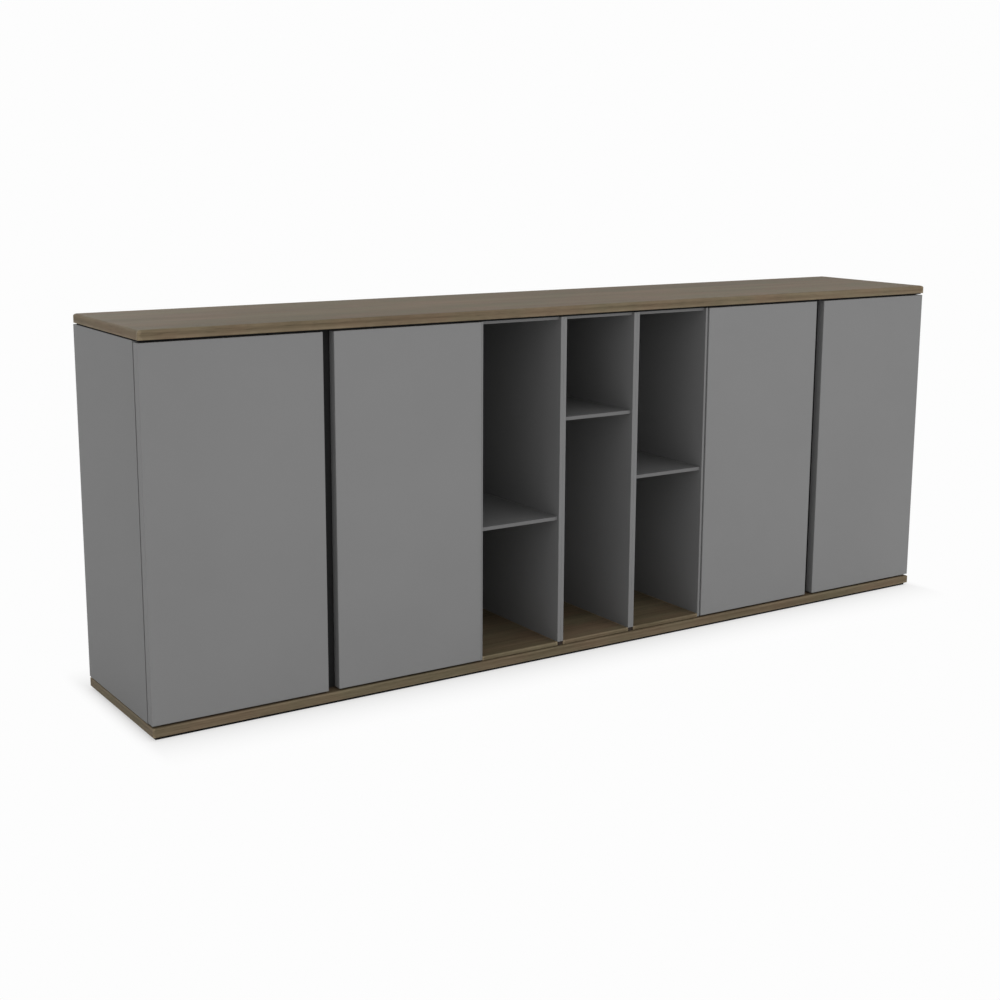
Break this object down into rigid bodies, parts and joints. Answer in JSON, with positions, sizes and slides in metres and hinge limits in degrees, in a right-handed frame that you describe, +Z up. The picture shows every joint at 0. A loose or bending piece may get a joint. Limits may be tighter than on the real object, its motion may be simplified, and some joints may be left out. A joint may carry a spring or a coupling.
{
  "type": "credenza",
  "caption": "Low office credenza with two double-door grey cabinets, open shelf bays between them, and greyed oak top and base panels separated by black shadow gaps.",
  "frame": {"origin": "on the floor, under the middle of the top panel", "axes": "+X along the length, to the right seen from the front; the doors face -Y; +Z up"},
  "size_m": [2.4, 0.42, 0.912],
  "materials": {
    "grey_oak": "greyed open-grain oak, matt",
    "grey_lacquer": "satin mid-grey lacquer on board",
    "black_board": "matt black lacquer on board",
    "nickel_plate": "nickel plated steel",
    "bumper_rubber": "soft clear-grey pad"
  },
  "bodies": {
    "cabinet": {"top_panel": "grey_oak", "base_panel": "grey_oak", "plinth_rails": "black_board", "top_spacer_rails": "black_board", "base_spacer_rails": "black_board", "left_end_panel": "grey_lacquer", "left_inner_side": "grey_lacquer", "left_cabinet_bottom": "grey_lacquer", "left_cabinet_top": "grey_lacquer", "left_cabinet_back": "grey_lacquer", "left_centre_post": "black_board", "left_cabinet_shelf": "grey_lacquer", "right_end_panel": "grey_lacquer", "right_inner_side": "grey_lacquer", "right_cabinet_bottom": "grey_lacquer", "right_cabinet_top": "grey_lacquer", "right_cabinet_back": "grey_lacquer", "right_centre_post": "black_board", "right_cabinet_shelf": "grey_lacquer", "door_bumpers": "bumper_rubber", "left_bay_left_side": "grey_lacquer", "left_bay_right_side": "grey_lacquer", "left_bay_top": "grey_lacquer", "left_bay_back": "grey_lacquer", "left_bay_shelf": "grey_lacquer", "left_bay_floor": "grey_oak", "middle_bay_left_side": "grey_lacquer", "middle_bay_right_side": "grey_lacquer", "middle_bay_top": "grey_lacquer", "middle_bay_back": "grey_lacquer", "middle_bay_shelf": "grey_lacquer", "middle_bay_floor": "grey_oak", "right_bay_left_side": "grey_lacquer", "right_bay_right_side": "grey_lacquer", "right_bay_top": "grey_lacquer", "right_bay_back": "grey_lacquer", "right_bay_shelf": "grey_lacquer", "right_bay_floor": "grey_oak", "shelf_pins": "nickel_plate", "hinge_arms": "nickel_plate", "hinge_mounting_plates": "nickel_plate", "hinge_screws": "nickel_plate"},
    "left_outer_outer_link": {"left_outer_outer_links": "nickel_plate"},
    "left_outer_door": {"left_outer_door": "grey_lacquer", "left_outer_hinge_cups": "nickel_plate"},
    "left_outer_inner_link": {"left_outer_inner_links": "nickel_plate"},
    "left_inner_outer_link": {"left_inner_outer_links": "nickel_plate"},
    "left_inner_door": {"left_inner_door": "grey_lacquer", "left_inner_hinge_cups": "nickel_plate"},
    "left_inner_inner_link": {"left_inner_inner_links": "nickel_plate"},
    "right_inner_outer_link": {"right_inner_outer_links": "nickel_plate"},
    "right_inner_door": {"right_inner_door": "grey_lacquer", "right_inner_hinge_cups": "nickel_plate"},
    "right_inner_inner_link": {"right_inner_inner_links": "nickel_plate"},
    "right_outer_outer_link": {"right_outer_outer_links": "nickel_plate"},
    "right_outer_door": {"right_outer_door": "grey_lacquer", "right_outer_hinge_cups": "nickel_plate"},
    "right_outer_inner_link": {"right_outer_inner_links": "nickel_plate"}
  },
  "joints": [
    {"name": "left_outer_outer_link_pivot", "type": "hinge", "parent": "cabinet", "child": "left_outer_outer_link", "pos_m": [-1.165, -0.1642, 0.46], "axis": [0, 0, -1], "range_deg": [-42.11, 0]},
    {"name": "left_outer_door_swing", "type": "hinge", "parent": "left_outer_outer_link", "child": "left_outer_door", "pos_m": [-1.1861, -0.1887, 0.46], "axis": [0, 0, -1], "range_deg": [0, 137]},
    {"name": "left_outer_inner_link_pivot", "type": "hinge", "parent": "cabinet", "child": "left_outer_inner_link", "pos_m": [-1.154, -0.1576, 0.46], "axis": [0, 0, -1], "range_deg": [-44.2, 0]},
    {"name": "left_inner_outer_link_pivot", "type": "hinge", "parent": "cabinet", "child": "left_inner_outer_link", "pos_m": [-0.3775, -0.1642, 0.46], "axis": [0, 0, 1], "range_deg": [-42.11, 0]},
    {"name": "left_inner_door_swing", "type": "hinge", "parent": "left_inner_outer_link", "child": "left_inner_door", "pos_m": [-0.3564, -0.1887, 0.46], "axis": [0, 0, 1], "range_deg": [0, 137]},
    {"name": "left_inner_inner_link_pivot", "type": "hinge", "parent": "cabinet", "child": "left_inner_inner_link", "pos_m": [-0.3885, -0.1576, 0.46], "axis": [0, 0, 1], "range_deg": [-44.2, 0]},
    {"name": "right_inner_outer_link_pivot", "type": "hinge", "parent": "cabinet", "child": "right_inner_outer_link", "pos_m": [0.4125, -0.1642, 0.46], "axis": [0, 0, -1], "range_deg": [-42.11, 0]},
    {"name": "right_inner_door_swing", "type": "hinge", "parent": "right_inner_outer_link", "child": "right_inner_door", "pos_m": [0.3914, -0.1887, 0.46], "axis": [0, 0, -1], "range_deg": [0, 137]},
    {"name": "right_inner_inner_link_pivot", "type": "hinge", "parent": "cabinet", "child": "right_inner_inner_link", "pos_m": [0.4235, -0.1576, 0.46], "axis": [0, 0, -1], "range_deg": [-44.2, 0]},
    {"name": "right_outer_outer_link_pivot", "type": "hinge", "parent": "cabinet", "child": "right_outer_outer_link", "pos_m": [1.165, -0.1642, 0.46], "axis": [0, 0, 1], "range_deg": [-42.11, 0]},
    {"name": "right_outer_door_swing", "type": "hinge", "parent": "right_outer_outer_link", "child": "right_outer_door", "pos_m": [1.1861, -0.1887, 0.46], "axis": [0, 0, 1], "range_deg": [0, 137]},
    {"name": "right_outer_inner_link_pivot", "type": "hinge", "parent": "cabinet", "child": "right_outer_inner_link", "pos_m": [1.154, -0.1576, 0.46], "axis": [0, 0, 1], "range_deg": [-44.2, 0]}
  ],
  "couplings": [
    {"joint": "left_outer_outer_link_pivot", "follows": "left_outer_door_swing", "ratio": -0.307},
    {"joint": "left_outer_inner_link_pivot", "follows": "left_outer_door_swing", "ratio": -0.32225},
    {"joint": "left_inner_outer_link_pivot", "follows": "left_inner_door_swing", "ratio": -0.307},
    {"joint": "left_inner_inner_link_pivot", "follows": "left_inner_door_swing", "ratio": -0.32225},
    {"joint": "right_inner_outer_link_pivot", "follows": "right_inner_door_swing", "ratio": -0.307},
    {"joint": "right_inner_inner_link_pivot", "follows": "right_inner_door_swing", "ratio": -0.32225},
    {"joint": "right_outer_outer_link_pivot", "follows": "right_outer_door_swing", "ratio": -0.307},
    {"joint": "right_outer_inner_link_pivot", "follows": "right_outer_door_swing", "ratio": -0.32225}
  ]
}
